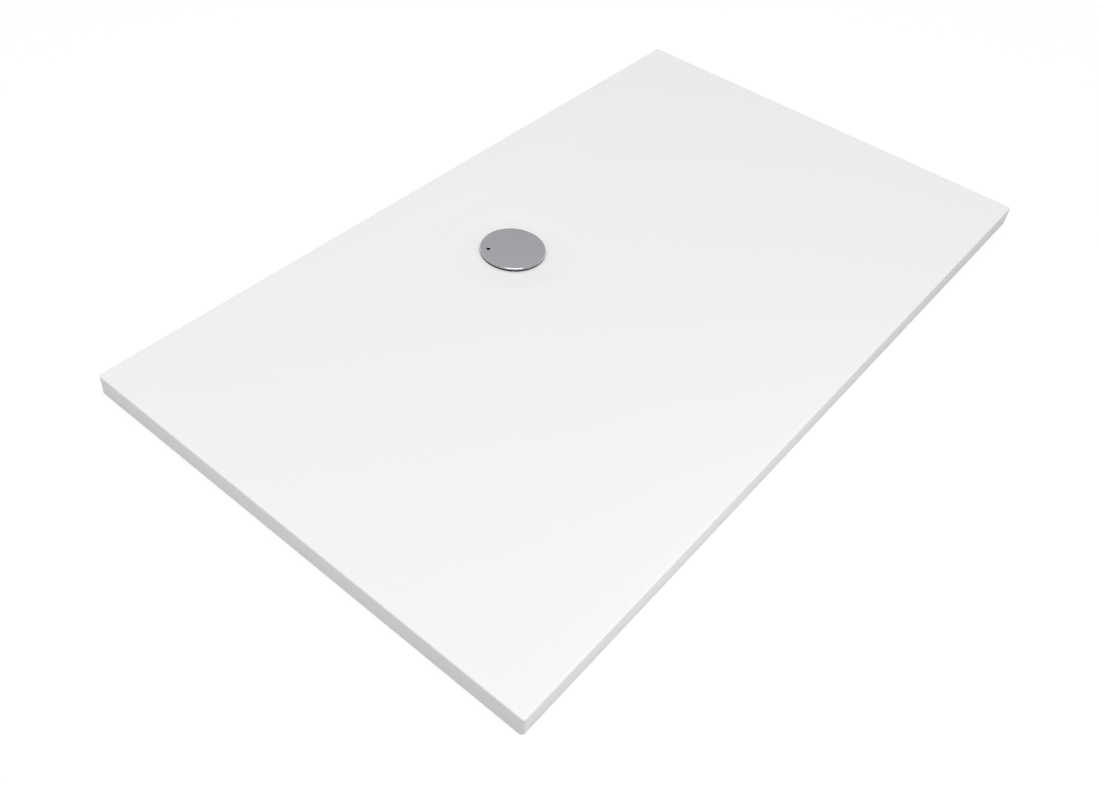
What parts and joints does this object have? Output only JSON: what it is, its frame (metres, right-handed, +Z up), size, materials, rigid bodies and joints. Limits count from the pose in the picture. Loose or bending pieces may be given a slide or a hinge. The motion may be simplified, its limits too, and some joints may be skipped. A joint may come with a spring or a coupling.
{
  "type": "shower tray",
  "caption": "Low rectangular white shower tray with gentle falls to a round chrome-covered waste and a lift-out water trap with a side outlet.",
  "frame": {"origin": "middle of the tray's flat underside, which is bedded on the floor; the trap hangs below it through a hole in the floor", "axes": "+Z up, +X along the long side, +Y towards the long edge that the waste is near"},
  "size_m": [1.4, 0.8, 0.1125],
  "materials": {
    "white_acrylic": "satin",
    "cast_resin": "matte",
    "bright_chrome": "polished",
    "dark_plastic": "matte",
    "grey_plastic": "satin",
    "white_plastic": "satin",
    "black_rubber": "matte",
    "stainless_steel": "satin",
    "brass": "satin"
  },
  "bodies": {
    "tray": {"acrylic_cap": "white_acrylic", "resin_core": "cast_resin", "waste_flange": "stainless_steel", "flange_seal": "black_rubber", "flange_screws": "stainless_steel", "screw_inserts": "brass", "body_seal": "black_rubber", "trap_head": "white_plastic", "bowl_seal": "black_rubber", "trap_bowl": "white_plastic", "trap_weir": "white_plastic", "outlet_spigot": "white_plastic"},
    "trap_insert": {"dip_tube": "white_plastic", "dip_tube_oring": "black_rubber"},
    "strainer": {"hair_strainer": "grey_plastic"},
    "cover": {"waste_cover": "bright_chrome", "cover_carrier": "dark_plastic"},
    "outlet_rings": {"outlet_seal": "black_rubber", "outlet_washer": "white_plastic"},
    "nut": {"outlet_nut": "white_plastic"}
  },
  "joints": [
    {"name": "insert_lift", "type": "slide", "parent": "tray", "child": "trap_insert", "axis": [0, 0, 1], "range_m": [0, 0.115]},
    {"name": "strainer_lift", "type": "slide", "parent": "trap_insert", "child": "strainer", "axis": [0, 0, 1], "range_m": [0, 0.04]},
    {"name": "cover_lift", "type": "slide", "parent": "strainer", "child": "cover", "axis": [0, 0, 1], "range_m": [0, 0.05]},
    {"name": "outlet_slide", "type": "slide", "parent": "tray", "child": "outlet_rings", "axis": [0, 1, 0], "range_m": [0, 0.012]},
    {"name": "nut_turn", "type": "hinge", "parent": "outlet_rings", "child": "nut", "pos_m": [-0.048, 0.25, -0.045], "axis": [0, 1, 0], "range_deg": [0, 1440]}
  ],
  "couplings": [
    {"joint": "outlet_slide", "follows": "nut_turn", "m_per_rad": 0.000477}
  ]
}
